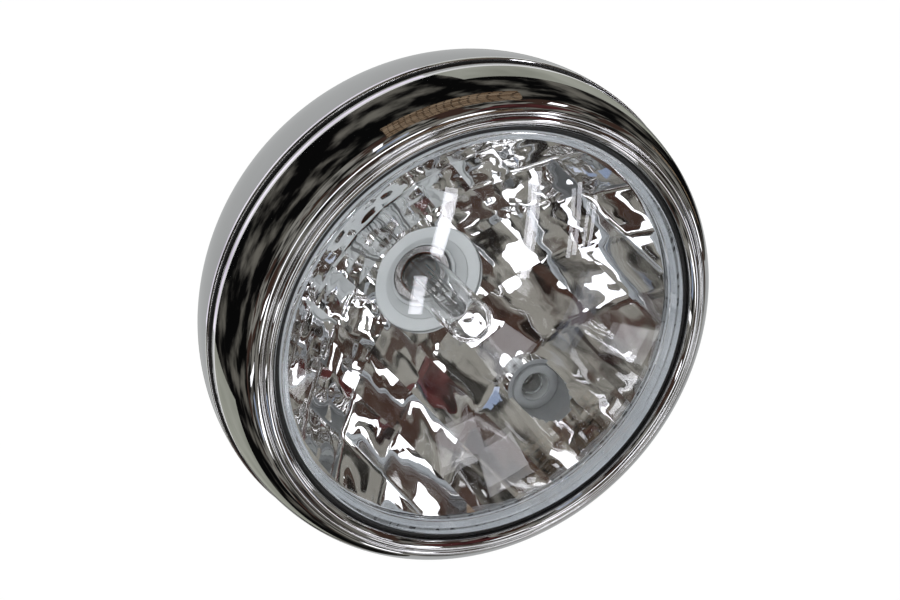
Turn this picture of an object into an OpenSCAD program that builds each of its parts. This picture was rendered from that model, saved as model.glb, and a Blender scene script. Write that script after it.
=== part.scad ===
// Round chrome motorcycle headlight with a clear domed lens, a faceted mirror,
// a twin-filament main bulb and a pilot lamp.
// The lens faces -Y, +Z is up and +X is the lamp's own right as seen from the front.
// The origin is where the optical axis meets the axis of the two side bolts.

/* [Lens] */
// Diameter of the clear dome where it leaves its rim
dome_d = 158; // [150:0.5:166]
// Height of the dome's crown above its own edge
dome_rise = 12; // [8:0.5:18]
// Thickness of the glass
glass_t = 3.5; // [2.5:0.1:4.5]
// How far the glass rim reaches out past the dome
rim_w = 5.3; // [4.5:0.1:6]
// Thickness of the glass rim
lens_rim_t = 6; // [4:0.5:8]
// Height of the straight neck below the dome
dome_neck = 3; // [2:0.1:4]
// Thickness of the rubber that lies on the glass rim
gasket_t = 1; // [0.6:0.1:1.6]
// How far that rubber stands up between the glass and the bezel's fold
gasket_lip = 0.5; // [0.3:0.1:1.5]

/* [Bezel] */
// Gap between the dome and the edge of the bezel's opening
opening_gap = 2.3; // [1.6:0.1:2.6]
// Width of the front ring, from the opening out to the lip
front_ring_w = 5.2; // [4.5:0.1:7]
// How much the skirt widens from the lip back to the seam
skirt_w = 9.5; // [8:0.5:12]
// Distance from the seam to the bezel's front lip
bezel_depth = 27; // [24:0.5:32]
// Sheet thickness of the bezel
bezel_wall = 1; // [0.8:0.1:1.5]
// Radius of the bead that runs round the lip
bead_r = 1; // [0.6:0.1:1.4]
// How far the front ring swells ahead of the lip
crown_rise = 1.8; // [0.8:0.1:3]
// How far the edge of the opening is folded back
edge_fold = 2; // [1.5:0.1:3]
// Width of the flange turned in at the bezel's back
bezel_flange = 8; // [6:0.5:8.5]
// Outside radius of the bezel's rolled back corner
bezel_corner = 2; // [1.5:0.1:3]

/* [Seam] */
// Thickness of the rubber between bowl and bezel
seal_t = 1.2; // [0.8:0.1:2]
// How deep the rubber sits below the bezel's outside
seal_inset = 1; // [0.8:0.1:3]

/* [Shell] */
// How far the bowl's rim stands out past the bezel
shell_step = 1; // [0.5:0.1:3]
// Sheet thickness of the bowl
shell_wall = 1.2; // [0.8:0.1:1.8]
// Height of the straight band at the bowl's rim
shell_band = 2.3; // [1.5:0.1:5]
// Width of the flange turned in at the bowl's rim
shell_flange = 9; // [7:0.5:10]
// Room between the bulb's blades and the grommet behind them
rear_room = 4.1; // [2:0.1:20]

/* [Mirror] */
// Width of the flange round the mirror's mouth
mirror_land = 9.3; // [8:0.1:12]
// Depth of the bowl, from its mouth to where its curve meets the axis
mirror_depth = 54; // [48:0.5:58]
// Thickness of the bowl, measured along the axis
mirror_wall = 3.2; // [2.6:0.1:4]
// Thickness of the flange at the mouth
mirror_flange_t = 1.6; // [1.2:0.1:2.4]
// Width of each upright strip
strip_pitch = 14; // [11:0.5:17]
// Height of the rows that break each strip
row_pitch = 22.8; // [18:0.2:26]
// Swell of each strip from side to side
strip_swell = 0.8; // [0.3:0.1:1]
// Swell of each row from top to bottom
row_swell = 0.8; // [0.3:0.1:1]

/* [Mirror clamp] */
// Thickness of the steel ring behind the mirror's flange
ring_t = 1.2; // [0.8:0.1:2]
// Width of that ring
ring_w = 5.5; // [4:0.5:6]
// Number of spring clips that hold the ring
clip_count = 6; // [4:1:8]
// Width of each clip
clip_w = 12; // [8:1:16]
// Thickness of the clips
clip_t = 0.8; // [0.6:0.1:1.2]

/* [Bezel fixings] */
// Width of the hook at the top and the bracket at the bottom
hook_w = 16; // [12:1:18]
// Thickness of the hook and the bracket
hook_t = 1.2; // [1:0.1:1.6]
// Reach of the feet that hold the two flanges
hook_reach = 4.5; // [3:0.1:5]
// Shank diameter of the bezel screw
screw_d = 4.8; // [4:0.1:5]
// Head diameter of the bezel screw
screw_head_d = 8.5; // [7.5:0.1:10]
// Height of the bezel screw's head
screw_head_h = 2.4; // [1.8:0.1:3]
// Distance of the bezel screw ahead of the seam
screw_ahead = 8; // [7:0.5:9]

/* [Side bosses] */
// Diameter of the pad that meets the bracket
boss_d = 16; // [14:0.5:20]
// How far the pad's face lies in from the bowl's widest radius
boss_inset = 1.4; // [0.5:0.1:2.5]
// Diameter of the threaded hole, at the thread's crests
thread_d = 6.8; // [6.8:0.1:8.5]
// Diameter of the boss's flange inside the bowl
boss_flange_d = 22; // [20:0.5:26]
// Thickness of that flange
boss_flange_t = 4; // [3:0.5:5]
// Thickness of the welded seat, counted in from the pad's face
boss_seat_in = 4.6; // [4:0.1:6]
// Gap between the bowl's flange and the boss's flange behind it
boss_gap = 1.2; // [0.6:0.1:6]

/* [Cable grommet] */
// Bore of the grommet
cable_d = 10; // [6:0.5:12]
// Hole in the bowl that holds the grommet
grommet_hole_d = 22; // [18:0.5:24]
// Diameter of the grommet's outer flanges
grommet_d = 28; // [26:0.5:29]
// Thickness of each of those flanges
grommet_lip = 2.6; // [2:0.1:4]
// Diameter of the flat pressed into the back of the bowl
rear_flat_d = 31; // [31:0.5:36]

/* [Main bulb] */
// Outside diameter of the pale collar round the bulb
collar_d = 44; // [40:0.5:46]
// Width of the collar's flat face, outside its funnel
collar_land = 5; // [3:0.5:6]
// Gap between the collar's bore and the bulb's metal sleeve
collar_gap = 0.8; // [0.5:0.1:2]
// Hole through the mirror for the collar's sleeve
neck_bore = 37; // [35:0.5:38]
// Outside diameter of the mirror's neck
neck_d = 56; // [54:0.5:60]
// Distance from the collar's face back to the bulb's seat
neck_depth = 8.5; // [7.5:0.1:10]
// Thickness of the collar's rim where it lies in the mirror
collar_rim_t = 2; // [1.5:0.1:3]
// Diameter of the bulb's metal flange
cap_flange_d = 43; // [40:0.5:44]
// Diameter of the bulb's metal sleeve
cap_d = 22.4; // [20:0.2:24]
// Diameter of the glass tube
bulb_d = 17; // [15:0.5:17.2]
// Length of the glass ahead of the bulb's seat
bulb_len = 55; // [50:0.5:60]
// Wall of the glass tube
bulb_wall = 1; // [0.7:0.1:1.2]
// Length of the glass behind the bulb's seat
bulb_foot = 6; // [4:0.5:8]
// Height of the solid glass that holds the wires, ahead of the seat
bulb_plug = 4; // [3:0.5:6]
// Distance of the rear filament ahead of the seat
high_ahead = 21; // [19:0.5:23]
// Distance of the front filament ahead of the seat
low_ahead = 30; // [28:0.5:32]
// Length of each filament coil
filament_len = 4.8; // [4:0.1:6]
// Diameter of each filament coil
filament_d = 1.6; // [1.2:0.1:2]
// Length of the small metal shield round the front filament
shield_len = 12; // [9:0.5:13]
// Length of the metal body ahead of the seat
cap_sleeve = 2.5; // [1.5:0.1:4]
// Length of the metal body behind the seat
cap_len = 12; // [10:0.5:14]
// Length of the plastic insulator that shows behind the metal
insulator_len = 8; // [6:0.5:9]
// Length of the three blades
blade_len = 8; // [6:0.5:9]
// Wire diameter of the spring that holds the bulb
clip_wire_d = 1.4; // [1:0.1:1.6]
// Wall of the rubber boot
boot_wall = 2.4; // [1.6:0.1:3]
// Length of the boot's grip on the mirror's neck, to each side of the bulb's seat
boot_grip = 5; // [4:0.5:6]
// Width of the boot's shoulder
boot_shoulder = 6; // [5:0.5:7]
// Length of the boot's waist, and its distance behind the metal body
boot_waist = 3.2; // [2.4:0.1:3.6]

/* [Pilot lamp] */
// Distance of the pilot lamp in from the mirror's mouth
pilot_in = 20; // [18:0.5:22]
// How far the pilot's seat lies below the mirror's curve
pilot_sink = 3; // [2:0.1:4]
// Diameter of the grey ring that shows
pilot_ring_d = 18.8; // [17:0.2:20]
// Height of that ring above its seat
pilot_ring_h = 2.5; // [1.5:0.1:3.5]
// Bore of the ring
pilot_bore = 11.4; // [10.8:0.1:12]
// Diameter of the pilot's body behind its ring
pilot_body_d = 14; // [13:0.2:15]
// Length of the pilot's body behind its seat
pilot_body_len = 15; // [13:0.5:18]
// Diameter of the pilot's glass
pilot_glass_d = 9.8; // [9:0.1:10.2]
// Length of the pilot's glass
pilot_glass_len = 14; // [12:0.5:15]
// Height of the solid foot of the pilot's glass
pilot_plug = 4; // [3:0.5:5]
// Length of the cap at the back of the pilot's socket
pilot_cap_len = 5; // [4:0.5:7]
// Length of the pilot's two blades
pilot_blade_len = 6; // [5:0.5:8]

/* [Hidden] */
$fn = 96;

// Clearance left round pieces that slip together
fit = 0.1;
// A little extra, so that a cutting shape runs past what it cuts
over = 1;

// Radii of the main rings
dome_r = dome_d / 2;
lens_r = dome_r + rim_w;
mouth_r = lens_r - mirror_land;
pilot_drop = mouth_r - pilot_in;
opening_r = dome_r + opening_gap;
lip_r = opening_r + front_ring_w;
bezel_r = lip_r + skirt_w;
shell_r = bezel_r + shell_step;

// Inner edges of the two flanges that face each other across the seam
bezel_edge = bezel_r - bezel_flange;
shell_edge = shell_r - shell_flange;

// Heights along the axis, counted forward from the seam
shell_front = -seal_t / 2;
bowl_start = shell_front - shell_band;
bezel_back = seal_t / 2;
skirt_start = bezel_back + bezel_corner;
lip_z = bezel_depth;
fold_end = lip_z - edge_fold;
rim_top = fold_end - gasket_t;
dome_start = rim_top + dome_neck;
mouth_z = rim_top - lens_rim_t;
flange_back = mouth_z - mirror_flange_t;
ring_back = flange_back - ring_t;
vertex_z = mouth_z - mirror_depth;
focal_len = mouth_r * mouth_r / (4 * mirror_depth);
bezel_floor = bezel_back + bezel_wall;
shell_floor = shell_front - shell_wall;
mount_back = boss_flange_d / 2 + boss_gap - shell_floor;

// Height of the mirror's plain curve at a distance r from the axis
function bowl_z(r) = vertex_z + r * r / (4 * focal_len);

collar_r = collar_d / 2;
collar_face = bowl_z(collar_r);
collar_seat = collar_face - collar_rim_t;
seat_z = collar_face - neck_depth;
cap_front = seat_z + cap_sleeve;
cap_back = seat_z - cap_len;
insulator_back = cap_back - insulator_len;
blades_back = insulator_back - blade_len;
pilot_seat = bowl_z(pilot_drop) - pilot_sink;
pilot_face = pilot_seat + pilot_ring_h;
pilot_back = pilot_seat - pilot_body_len;

// The bowl is as deep as the bulb, its wires and the grommet need
rear_sin = sin(acos(rear_flat_d / 2 / shell_r));
rear_inside = blades_back - rear_room - grommet_lip - fit;
shell_depth = shell_wall + (bowl_start - rear_inside) / rear_sin;
rear_face = bowl_start - shell_depth * rear_sin;

// Places a drawing made with its height along +Z onto the lamp's axis
module on_axis() {
  rotate([90, 0, 0])
    translate([0, 0, mount_back])
      children();
}

// Turns a half profile of radius and height about the lamp's axis
module turned() {
  on_axis()
    rotate_extrude()
      children();
}

// Points along part of an ellipse, as radius and height
function ellipse_arc(centre, half, from, to, steps) =
  [for (i = [0:steps]) let (t = from + (to - from) * i / steps)
    [centre[0] + half[0] * cos(t), centre[1] + half[1] * sin(t)]];

function reversed(list) = [for (i = [len(list) - 1:-1:0]) list[i]];

// Bowl

bowl_steps = 22;

module bowl_outline(inset) {
  half_r = shell_r - inset;
  half_h = shell_depth - inset;
  angle = asin(rear_sin);
  polygon(concat(
    [[0, shell_front - inset]],
    [[half_r, shell_front - inset]],
    ellipse_arc([0, bowl_start], [half_r, -half_h], 0, angle, bowl_steps),
    [[0, bowl_start - half_h * rear_sin]]
  ));
}

// Lies along the side bolt's axis, from one distance to another
module across(r, from, to) {
  translate([from, 0, -mount_back])
    rotate([0, 90, 0])
      cylinder(r = r, h = to - from);
}

module both_sides() {
  children();
  mirror([1, 0, 0])
    children();
}

boss_reach = shell_r - boss_inset;
boss_seat = boss_reach - boss_seat_in;

module shell() {
  color("silver")
    on_axis()
      difference() {
        union() {
          rotate_extrude()
            difference() {
              bowl_outline(0);
              bowl_outline(shell_wall);
              translate([0, shell_floor])
                square([shell_edge, shell_wall + over]);
            }
          // Seats welded inside for the bosses of the side bolts
          intersection() {
            rotate_extrude()
              bowl_outline(shell_wall / 2);
            both_sides()
              across(boss_flange_d / 2 + 1, boss_seat, shell_r);
          }
        }
        both_sides()
          across(boss_d / 2 + fit, boss_seat - over, shell_r + over);
        translate([0, 0, rear_face - over])
          cylinder(d = grommet_hole_d, h = rear_inside - rear_face + 2 * over);
      }
}

module side_boss(side) {
  color("gainsboro")
    on_axis()
      mirror([side < 0 ? 1 : 0, 0, 0])
        difference() {
          union() {
            across(boss_d / 2, boss_seat - boss_flange_t, boss_reach);
            across(boss_flange_d / 2, boss_seat - boss_flange_t, boss_seat);
          }
          across(thread_d / 2, boss_seat - boss_flange_t - over, boss_reach + over);
        }
}

module side_boss_left() {
  side_boss(-1);
}

module side_boss_right() {
  side_boss(1);
}

module rear_grommet() {
  bore = cable_d / 2;
  neck = grommet_hole_d / 2 - fit;
  edge = grommet_d / 2;
  color("dimgray")
    turned()
      polygon([
        [bore, rear_face - fit - grommet_lip],
        [edge - 2, rear_face - fit - grommet_lip],
        [edge, rear_face - fit - grommet_lip / 2],
        [edge, rear_face - fit],
        [neck, rear_face - fit],
        [neck, rear_inside + fit],
        [edge - 0.5, rear_inside + fit],
        [edge - 1.5, rear_inside + fit + grommet_lip],
        [bore, rear_inside + fit + grommet_lip]
      ]);
}

module seam_seal() {
  inner = max(bezel_edge, shell_edge) + 0.5;
  color("black")
    turned()
      translate([inner, shell_front])
        square([bezel_r - seal_inset - inner, seal_t]);
}

// Bezel

skirt_steps = 14;
crown_steps = 8;

// Height of the front ring at a share s of the way from the lip to the opening
function crown_z(s) = lip_z + crown_rise * sin(180 * s);

function crown_path(inset) =
  [for (i = [1:crown_steps]) let (s = i / crown_steps)
    [lip_r - s * (lip_r - opening_r), crown_z(s) - inset]];

function skirt_path(inset) = concat(
  ellipse_arc([bezel_r - bezel_corner, skirt_start],
              [bezel_corner - inset, bezel_corner - inset], -90, 0, 4),
  [for (i = [1:skirt_steps]) let (t = 90 * i / skirt_steps)
    [lip_r + (bezel_r - lip_r - inset) * cos(t),
     skirt_start + (lip_z - skirt_start - inset) * sin(t)]]
);

module bezel() {
  color("silver")
    on_axis()
      difference() {
        rotate_extrude()
          union() {
            polygon(concat(
              [[bezel_edge, bezel_back]],
              skirt_path(0),
              crown_path(0),
              [[opening_r, fold_end]],
              [[opening_r + bezel_wall, fold_end]],
              [[opening_r + bezel_wall, crown_z(1) - bezel_wall]],
              reversed([for (p = crown_path(bezel_wall)) if (p[0] > opening_r + bezel_wall) p]),
              reversed(skirt_path(bezel_wall)),
              [[bezel_edge, bezel_floor]]
            ));
            translate([lip_r, lip_z - bead_r / 3])
              circle(r = bead_r);
          }
        translate([0, -opening_r, screw_ahead])
          rotate([90, 0, 0])
            cylinder(d = screw_d + 0.8, h = bezel_r);
      }
}

// The two flanges end at this radius, and the hook and bracket pass inside it
hook_clear = min(bezel_edge, shell_edge);
hook_out = sqrt(pow(hook_clear - 2 * fit, 2) - pow(hook_w / 2, 2));

// A flat strip of the hook's width, given by its inner and outer radius and heights
module strip(r1, r2, z1, z2) {
  translate([-hook_w / 2, r1, z1])
    cube([hook_w, r2 - r1, z2 - z1]);
}

module top_hook() {
  color("lightsteelblue")
    on_axis()
      union() {
        strip(hook_out - hook_t, hook_out, shell_floor - hook_t, bezel_floor + hook_t);
        strip(hook_out - hook_t, hook_out + hook_reach, bezel_floor, bezel_floor + hook_t);
        strip(hook_out - hook_t, hook_out + hook_reach, shell_floor - hook_t, shell_floor);
      }
}

bracket_top = screw_ahead + 5;

module screw_bracket() {
  color("lightsteelblue")
    on_axis()
      rotate([0, 0, 180])
        difference() {
          union() {
            strip(hook_out - hook_t, hook_out, shell_floor - hook_t, bracket_top);
            strip(hook_out - hook_t, hook_out + hook_reach, shell_floor - hook_t, shell_floor);
          }
          translate([0, hook_out + over, screw_ahead])
            rotate([90, 0, 0])
              cylinder(d = screw_d + 2 * fit, h = hook_t + 2 * over);
        }
}

nut_h = 4;

module bracket_nut() {
  color("lightsteelblue")
    on_axis()
      rotate([0, 0, 180])
        translate([0, hook_out - hook_t, screw_ahead])
          rotate([90, 0, 0])
            difference() {
              cylinder(d = screw_d + 4, h = nut_h, $fn = 6);
              translate([0, 0, -over])
                cylinder(d = screw_d + 2 * fit, h = nut_h + 2 * over);
            }
}

// Outside radius of the bezel's skirt at a height z
function skirt_r(z) = lip_r + (bezel_r - lip_r)
  * sqrt(1 - pow(max(0, z - skirt_start) / (lip_z - skirt_start), 2));

// The screw's head rests on the widest part of the skirt that it covers
skirt_at_screw = skirt_r(screw_ahead - screw_head_d / 2);

module bezel_screw() {
  tip = hook_out - hook_t - nut_h - 1.5;
  color("gainsboro")
    on_axis()
      rotate([0, 0, 180])
        translate([0, skirt_at_screw, screw_ahead])
          rotate([90, 0, 0])
            difference() {
              union() {
                cylinder(d = screw_d, h = skirt_at_screw - tip);
                translate([0, 0, -screw_head_h])
                  cylinder(d1 = screw_head_d - 1.6, d2 = screw_head_d, h = screw_head_h);
              }
              for (turn = [0, 90])
                translate([0, 0, -screw_head_h])
                  rotate([0, 0, turn])
                    cube([1, screw_head_d * 0.55, 2.4], center = true);
            }
}

// Lens

// A round-topped solid of the given radius, rise and base height
module dome_profile(r, rise, base) {
  ball = (r * r + rise * rise) / (2 * rise);
  intersection() {
    translate([0, base + rise - ball])
      circle(r = ball, $fn = 360);
    translate([0, base - over])
      square([r, rise + 2 * over]);
  }
}

module lens() {
  inner_r = dome_r - glass_t;
  color([0.85, 0.9, 0.95, 0.5])
    turned()
      difference() {
        union() {
          translate([0, mouth_z])
            square([lens_r, lens_rim_t]);
          translate([0, mouth_z])
            square([dome_r, dome_start - mouth_z]);
          dome_profile(dome_r, dome_rise, dome_start);
        }
        translate([0, mouth_z - over])
          square([inner_r, dome_start - mouth_z - glass_t + 2 * over]);
        dome_profile(inner_r, dome_rise - 0.5, dome_start + 0.5 - glass_t);
      }
}

module lens_gasket() {
  color("black")
    turned()
      polygon([
        [dome_r + fit, rim_top],
        [lens_r, rim_top],
        [lens_r, fold_end],
        [opening_r - fit, fold_end],
        [opening_r - fit, fold_end + gasket_lip - 0.2],
        [dome_r + fit, fold_end + gasket_lip]
      ]);
}

// Mirror

cell_steps = 4;
// One strip stands on the axis, and two rows meet there
strips = 2 * ceil((mouth_r + 1) / strip_pitch - 0.5) + 1;
rows = 2 * ceil((mouth_r + 1) / row_pitch);
grid_nx = strips * cell_steps;
grid_ny = rows * cell_steps;
half_x = strips * strip_pitch / 2;
half_y = rows * row_pitch / 2;

// Share of the swell at a place counted in cells, none at the cell's edges
function swell(place) = let (u = place - floor(place)) 4 * u * (1 - u);

// Height of the faceted surface at grid point i, j
function facet_point(i, j) = let (
    x = half_x * (2 * i / grid_nx - 1),
    y = half_y * (2 * j / grid_ny - 1),
    lift = strip_swell * swell(i / cell_steps) + row_swell * swell(j / cell_steps)
  )
  [x, y, bowl_z(sqrt(x * x + y * y)) + lift];

// Everything in front of the faceted surface
module facet_block() {
  top = bowl_z(sqrt(half_x * half_x + half_y * half_y)) + mouth_r;
  row = grid_ny + 1;
  corner = (grid_nx + 1) * row;
  points = concat(
    [for (i = [0:grid_nx], j = [0:grid_ny]) facet_point(i, j)],
    [[-half_x, -half_y, top], [half_x, -half_y, top],
     [half_x, half_y, top], [-half_x, half_y, top]]
  );
  lower = [for (i = [0:grid_nx - 1], j = [0:grid_ny - 1], half = [0, 1])
    let (p = i * row + j)
    half == 0 ? [p, p + row, p + row + 1] : [p, p + row + 1, p + 1]];
  front_side = concat([for (i = [grid_nx:-1:0]) i * row], [corner, corner + 1]);
  right_side = concat([for (j = [grid_ny:-1:0]) grid_nx * row + j], [corner + 1, corner + 2]);
  back_side = concat([for (i = [0:grid_nx]) i * row + grid_ny], [corner + 2, corner + 3]);
  left_side = concat([for (j = [0:grid_ny]) j], [corner + 3, corner]);
  lid = [corner + 3, corner + 2, corner + 1, corner];
  polyhedron(
    points = points,
    faces = concat(lower, [front_side, right_side, back_side, left_side, lid]),
    convexity = 6
  );
}

bowl_back_steps = 16;
bowl_back_r = sqrt(4 * focal_len * (mouth_z - vertex_z + mirror_wall));

module reflector() {
  color("lightgray")
    on_axis()
      difference() {
        union() {
          difference() {
            union() {
              rotate_extrude()
                polygon(concat(
                  [[0, mouth_z]],
                  [for (i = [0:bowl_back_steps]) let (r = bowl_back_r * i / bowl_back_steps)
                    [r, bowl_z(r) - mirror_wall]]
                ));
              translate([0, 0, flange_back])
                cylinder(r = lens_r, h = mirror_flange_t);
              translate([0, 0, seat_z])
                cylinder(d = neck_d, h = bowl_z(neck_d / 2) - seat_z);
              translate([0, -pilot_drop, pilot_seat - pilot_body_len / 2])
                cylinder(d = pilot_ring_d + 4, h = pilot_body_len / 2);
            }
            intersection() {
              facet_block();
              translate([0, 0, seat_z])
                cylinder(r = mouth_r, h = 4 * mouth_r);
            }
          }
          // Round seat for the pilot lamp, standing out of the bowl on its upper side
          translate([0, -pilot_drop, pilot_seat - pilot_body_len / 2])
            cylinder(d = pilot_ring_d + 4, h = pilot_body_len / 2 + 1);
        }
        translate([0, 0, seat_z - over])
          cylinder(d = neck_bore, h = 2 * mouth_r);
        translate([0, 0, collar_seat])
          cylinder(r = collar_r + fit, h = 2 * mouth_r);
        translate([0, -pilot_drop, pilot_back])
          cylinder(d = pilot_body_d + 2 * fit, h = 2 * mouth_r);
        translate([0, -pilot_drop, pilot_seat])
          cylinder(d = pilot_ring_d + 2 * fit, h = 2 * mouth_r);
      }
}

module clamp_ring() {
  color("lightsteelblue")
    turned()
      translate([lens_r - ring_w, ring_back])
        square([ring_w, ring_t]);
}

// One bent spring strip, from the ring down to the bezel's back flange
module clamp_clip() {
  inner = lens_r - ring_w + 1;
  knee = lens_r;
  heel = bezel_edge + 4;
  translate([-clip_w / 2, 0, 0])
    rotate([90, 0, 90])
      linear_extrude(clip_w)
        polygon([
          [inner, ring_back],
          [knee, ring_back],
          [heel, bezel_floor + clip_t],
          [heel, bezel_floor],
          [heel - 3.5, bezel_floor],
          [heel - 3.5, bezel_floor + clip_t],
          [heel - clip_t, bezel_floor + clip_t],
          [knee - clip_t, ring_back - clip_t],
          [inner, ring_back - clip_t]
        ]);
}

module clamp_clips() {
  color("lightsteelblue")
    on_axis()
      for (i = [0:clip_count - 1])
        rotate([0, 0, (i + 0.5) * 360 / clip_count])
          clamp_clip();
}

// Main bulb

module bulb_collar() {
  bore = cap_d / 2 + collar_gap;
  sleeve = neck_bore / 2 - fit;
  throat = cap_front + 1;
  color("lightgray")
    turned()
      polygon([
        [bore, seat_z + fit],
        [sleeve, seat_z + fit],
        [sleeve, collar_seat],
        [collar_r, collar_seat],
        [collar_r, collar_face - 0.6],
        [collar_r - 0.6, collar_face],
        [collar_r - collar_land, collar_face - 0.4],
        [bore + 0.6, throat + 0.6],
        [bore, throat]
      ]);
}

cap_flange_t = 1.2;

module bulb_cap() {
  color("silver")
    on_axis()
      difference() {
        union() {
          translate([0, 0, seat_z - cap_flange_t])
            cylinder(d = cap_flange_d, h = cap_flange_t);
          translate([0, 0, cap_back])
            cylinder(d = cap_d, h = cap_front - cap_back);
        }
        translate([0, 0, seat_z - bulb_foot])
          cylinder(d = bulb_d + 2 * fit, h = bulb_foot + cap_sleeve + over);
        // Three notches in the flange that key the bulb
        for (turn = [90, 210, 330])
          rotate([0, 0, turn])
            translate([cap_flange_d / 2, 0, seat_z])
              cube([4, 6, 6], center = true);
      }
}

module bulb_insulator() {
  color("dimgray")
    turned()
      polygon([
        [0, cap_back],
        [cap_d / 2 - 0.8, cap_back],
        [cap_d / 2 - 0.8, insulator_back + 1],
        [cap_d / 2 - 1.8, insulator_back],
        [0, insulator_back]
      ]);
}

module bulb_terminals() {
  color("gold")
    on_axis()
      for (turn = [0, 90, 270])
        rotate([0, 0, turn])
          translate([-4, 6, blades_back])
            cube([8, 0.8, blade_len]);
}

plug_top = seat_z + bulb_plug;
tip_z = seat_z + bulb_len;

// Half outline of a round-ended tube
module tube_end(r, from, tip) {
  square_h = tip - r - from;
  translate([0, from])
    square([r, square_h]);
  intersection() {
    translate([0, tip - r])
      circle(r = r);
    translate([0, tip - r - over])
      square([r, r + 2 * over]);
  }
}

module bulb_glass() {
  r = bulb_d / 2;
  color([0.85, 0.9, 0.95, 0.5])
    turned()
      difference() {
        tube_end(r, seat_z - bulb_foot, tip_z);
        tube_end(r - bulb_wall, plug_top, tip_z - bulb_wall);
      }
}

shield_r = 4.2;
shield_t = 0.5;
shield_start = seat_z + low_ahead - shield_len / 2;
shield_end = shield_start + shield_len;

module bulb_shield() {
  color("silver")
    on_axis()
      union() {
        difference() {
          translate([0, 0, shield_start])
            cylinder(r = shield_r, h = shield_end - shield_start);
          translate([0, 0, shield_start - over])
            cylinder(r = shield_r - shield_t, h = shield_end - shield_start + 2 * over);
          translate([-shield_r - over, 1, shield_start - over])
            cube([2 * shield_r + 2 * over, 2 * shield_r, shield_end - shield_start + 2 * over]);
        }
        translate([0, -shield_r, plug_top])
          cylinder(r = 0.5, h = shield_start - plug_top + 2);
      }
}

// A coil on two lead wires that stand in the bulb's glass foot
module filament(ahead, lead_x, lead_y) {
  lead_r = 0.35;
  z = seat_z + ahead;
  on_axis()
    union() {
      translate([0, 0, z - filament_len / 2])
        cylinder(d = filament_d, h = filament_len);
      for (side = [-1, 1])
        let (end = z + side * filament_len / 2 * 0.8) {
          translate([side * lead_x, lead_y, plug_top])
            cylinder(r = lead_r, h = end - plug_top + 0.9 * lead_r);
          translate([side * lead_x, lead_y, end])
            rotate([0, 90, atan2(-lead_y, -side * lead_x)])
              cylinder(r = 0.75 * lead_r, h = sqrt(lead_x * lead_x + lead_y * lead_y));
        }
    }
}

module filament_high() {
  color("goldenrod")
    filament(high_ahead, 0.13 * bulb_d, -1.4);
}

module filament_low() {
  color("goldenrod")
    filament(low_ahead, 0.2 * bulb_d, 1.6);
}

module bulb_clip() {
  wire_r = clip_wire_d / 2;
  z = seat_z - cap_flange_t - wire_r;
  half = cap_d / 2 + 1.6;
  foot_y = -sqrt(pow(neck_d / 2 - 2, 2) - half * half);
  top_y = neck_d / 2 - 2 - half;
  color("silver")
    on_axis()
      union() {
        for (side = [-1, 1])
          translate([side * half, foot_y, z]) {
            rotate([-90, 0, 0])
              cylinder(r = wire_r, h = top_y - foot_y);
            cylinder(r = wire_r, h = seat_z - z);
            sphere(r = wire_r);
          }
        translate([0, top_y, z])
          rotate_extrude(angle = 180)
            translate([half, 0])
              circle(r = wire_r);
        translate([0, top_y + half, z])
          cylinder(r = wire_r, h = seat_z - z);
      }
}

module bulb_boot() {
  grip = neck_d / 2 + fit;
  lip = cap_d / 2 - 0.8 + fit;
  shoulder = seat_z - boot_grip;
  taper = shoulder - boot_grip;
  waist = cap_back - boot_waist;
  color("dimgray")
    turned()
      polygon([
        [grip, seat_z + boot_grip],
        [grip + boot_wall, seat_z + boot_grip],
        [grip + boot_wall, shoulder],
        [grip - boot_shoulder, taper],
        [lip + boot_wall, waist],
        [lip + boot_wall, waist - boot_waist],
        [lip, waist - boot_waist],
        [lip, waist + 1],
        [grip - boot_shoulder - 1, taper + boot_wall],
        [grip, shoulder + 1]
      ]);
}

// Pilot lamp

module at_pilot() {
  on_axis()
    translate([0, -pilot_drop, 0])
      children();
}

module pilot_holder() {
  ring_r = pilot_ring_d / 2;
  bore = pilot_bore / 2;
  color("gray")
    at_pilot()
      rotate_extrude()
        polygon([
          [bore, pilot_back],
          [pilot_body_d / 2, pilot_back],
          [pilot_body_d / 2, pilot_seat],
          [ring_r, pilot_seat],
          [ring_r, pilot_face - 0.5],
          [ring_r - 0.5, pilot_face],
          [bore + 1, pilot_face],
          [bore, pilot_face - 1]
        ]);
}

pilot_tip = pilot_face - 0.5;
pilot_foot = pilot_tip - pilot_glass_len;

module pilot_glass() {
  r = pilot_glass_d / 2;
  color([0.85, 0.9, 0.95, 0.5])
    at_pilot()
      rotate_extrude()
        difference() {
          tube_end(r, pilot_foot, pilot_tip);
          tube_end(r - 0.7, pilot_foot + pilot_plug, pilot_tip - 0.7);
        }
}

module pilot_filament() {
  coil_z = (pilot_foot + pilot_tip) / 2;
  color("goldenrod")
    at_pilot()
      union() {
        translate([-2, 0, coil_z])
          rotate([0, 90, 0])
            cylinder(r = 0.4, h = 4);
        for (side = [-1, 1])
          translate([side * 2, 0, pilot_foot + pilot_plug])
            cylinder(r = 0.3, h = coil_z - pilot_foot - pilot_plug);
      }
}

module pilot_socket() {
  color("dimgray")
    at_pilot()
      rotate_extrude()
        polygon([
          [0, pilot_foot],
          [pilot_bore / 2 - fit, pilot_foot],
          [pilot_bore / 2 - fit, pilot_back],
          [pilot_body_d / 2 - 0.5, pilot_back],
          [pilot_body_d / 2 - 0.5, pilot_back - pilot_cap_len],
          [0, pilot_back - pilot_cap_len]
        ]);
}

module pilot_terminals() {
  tip = pilot_back - pilot_cap_len - pilot_blade_len;
  color("gold")
    at_pilot()
      for (side = [-1, 1])
        translate([side * 3 - 0.4, -2.4, tip])
          cube([0.8, 4.8, pilot_blade_len]);
}

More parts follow.
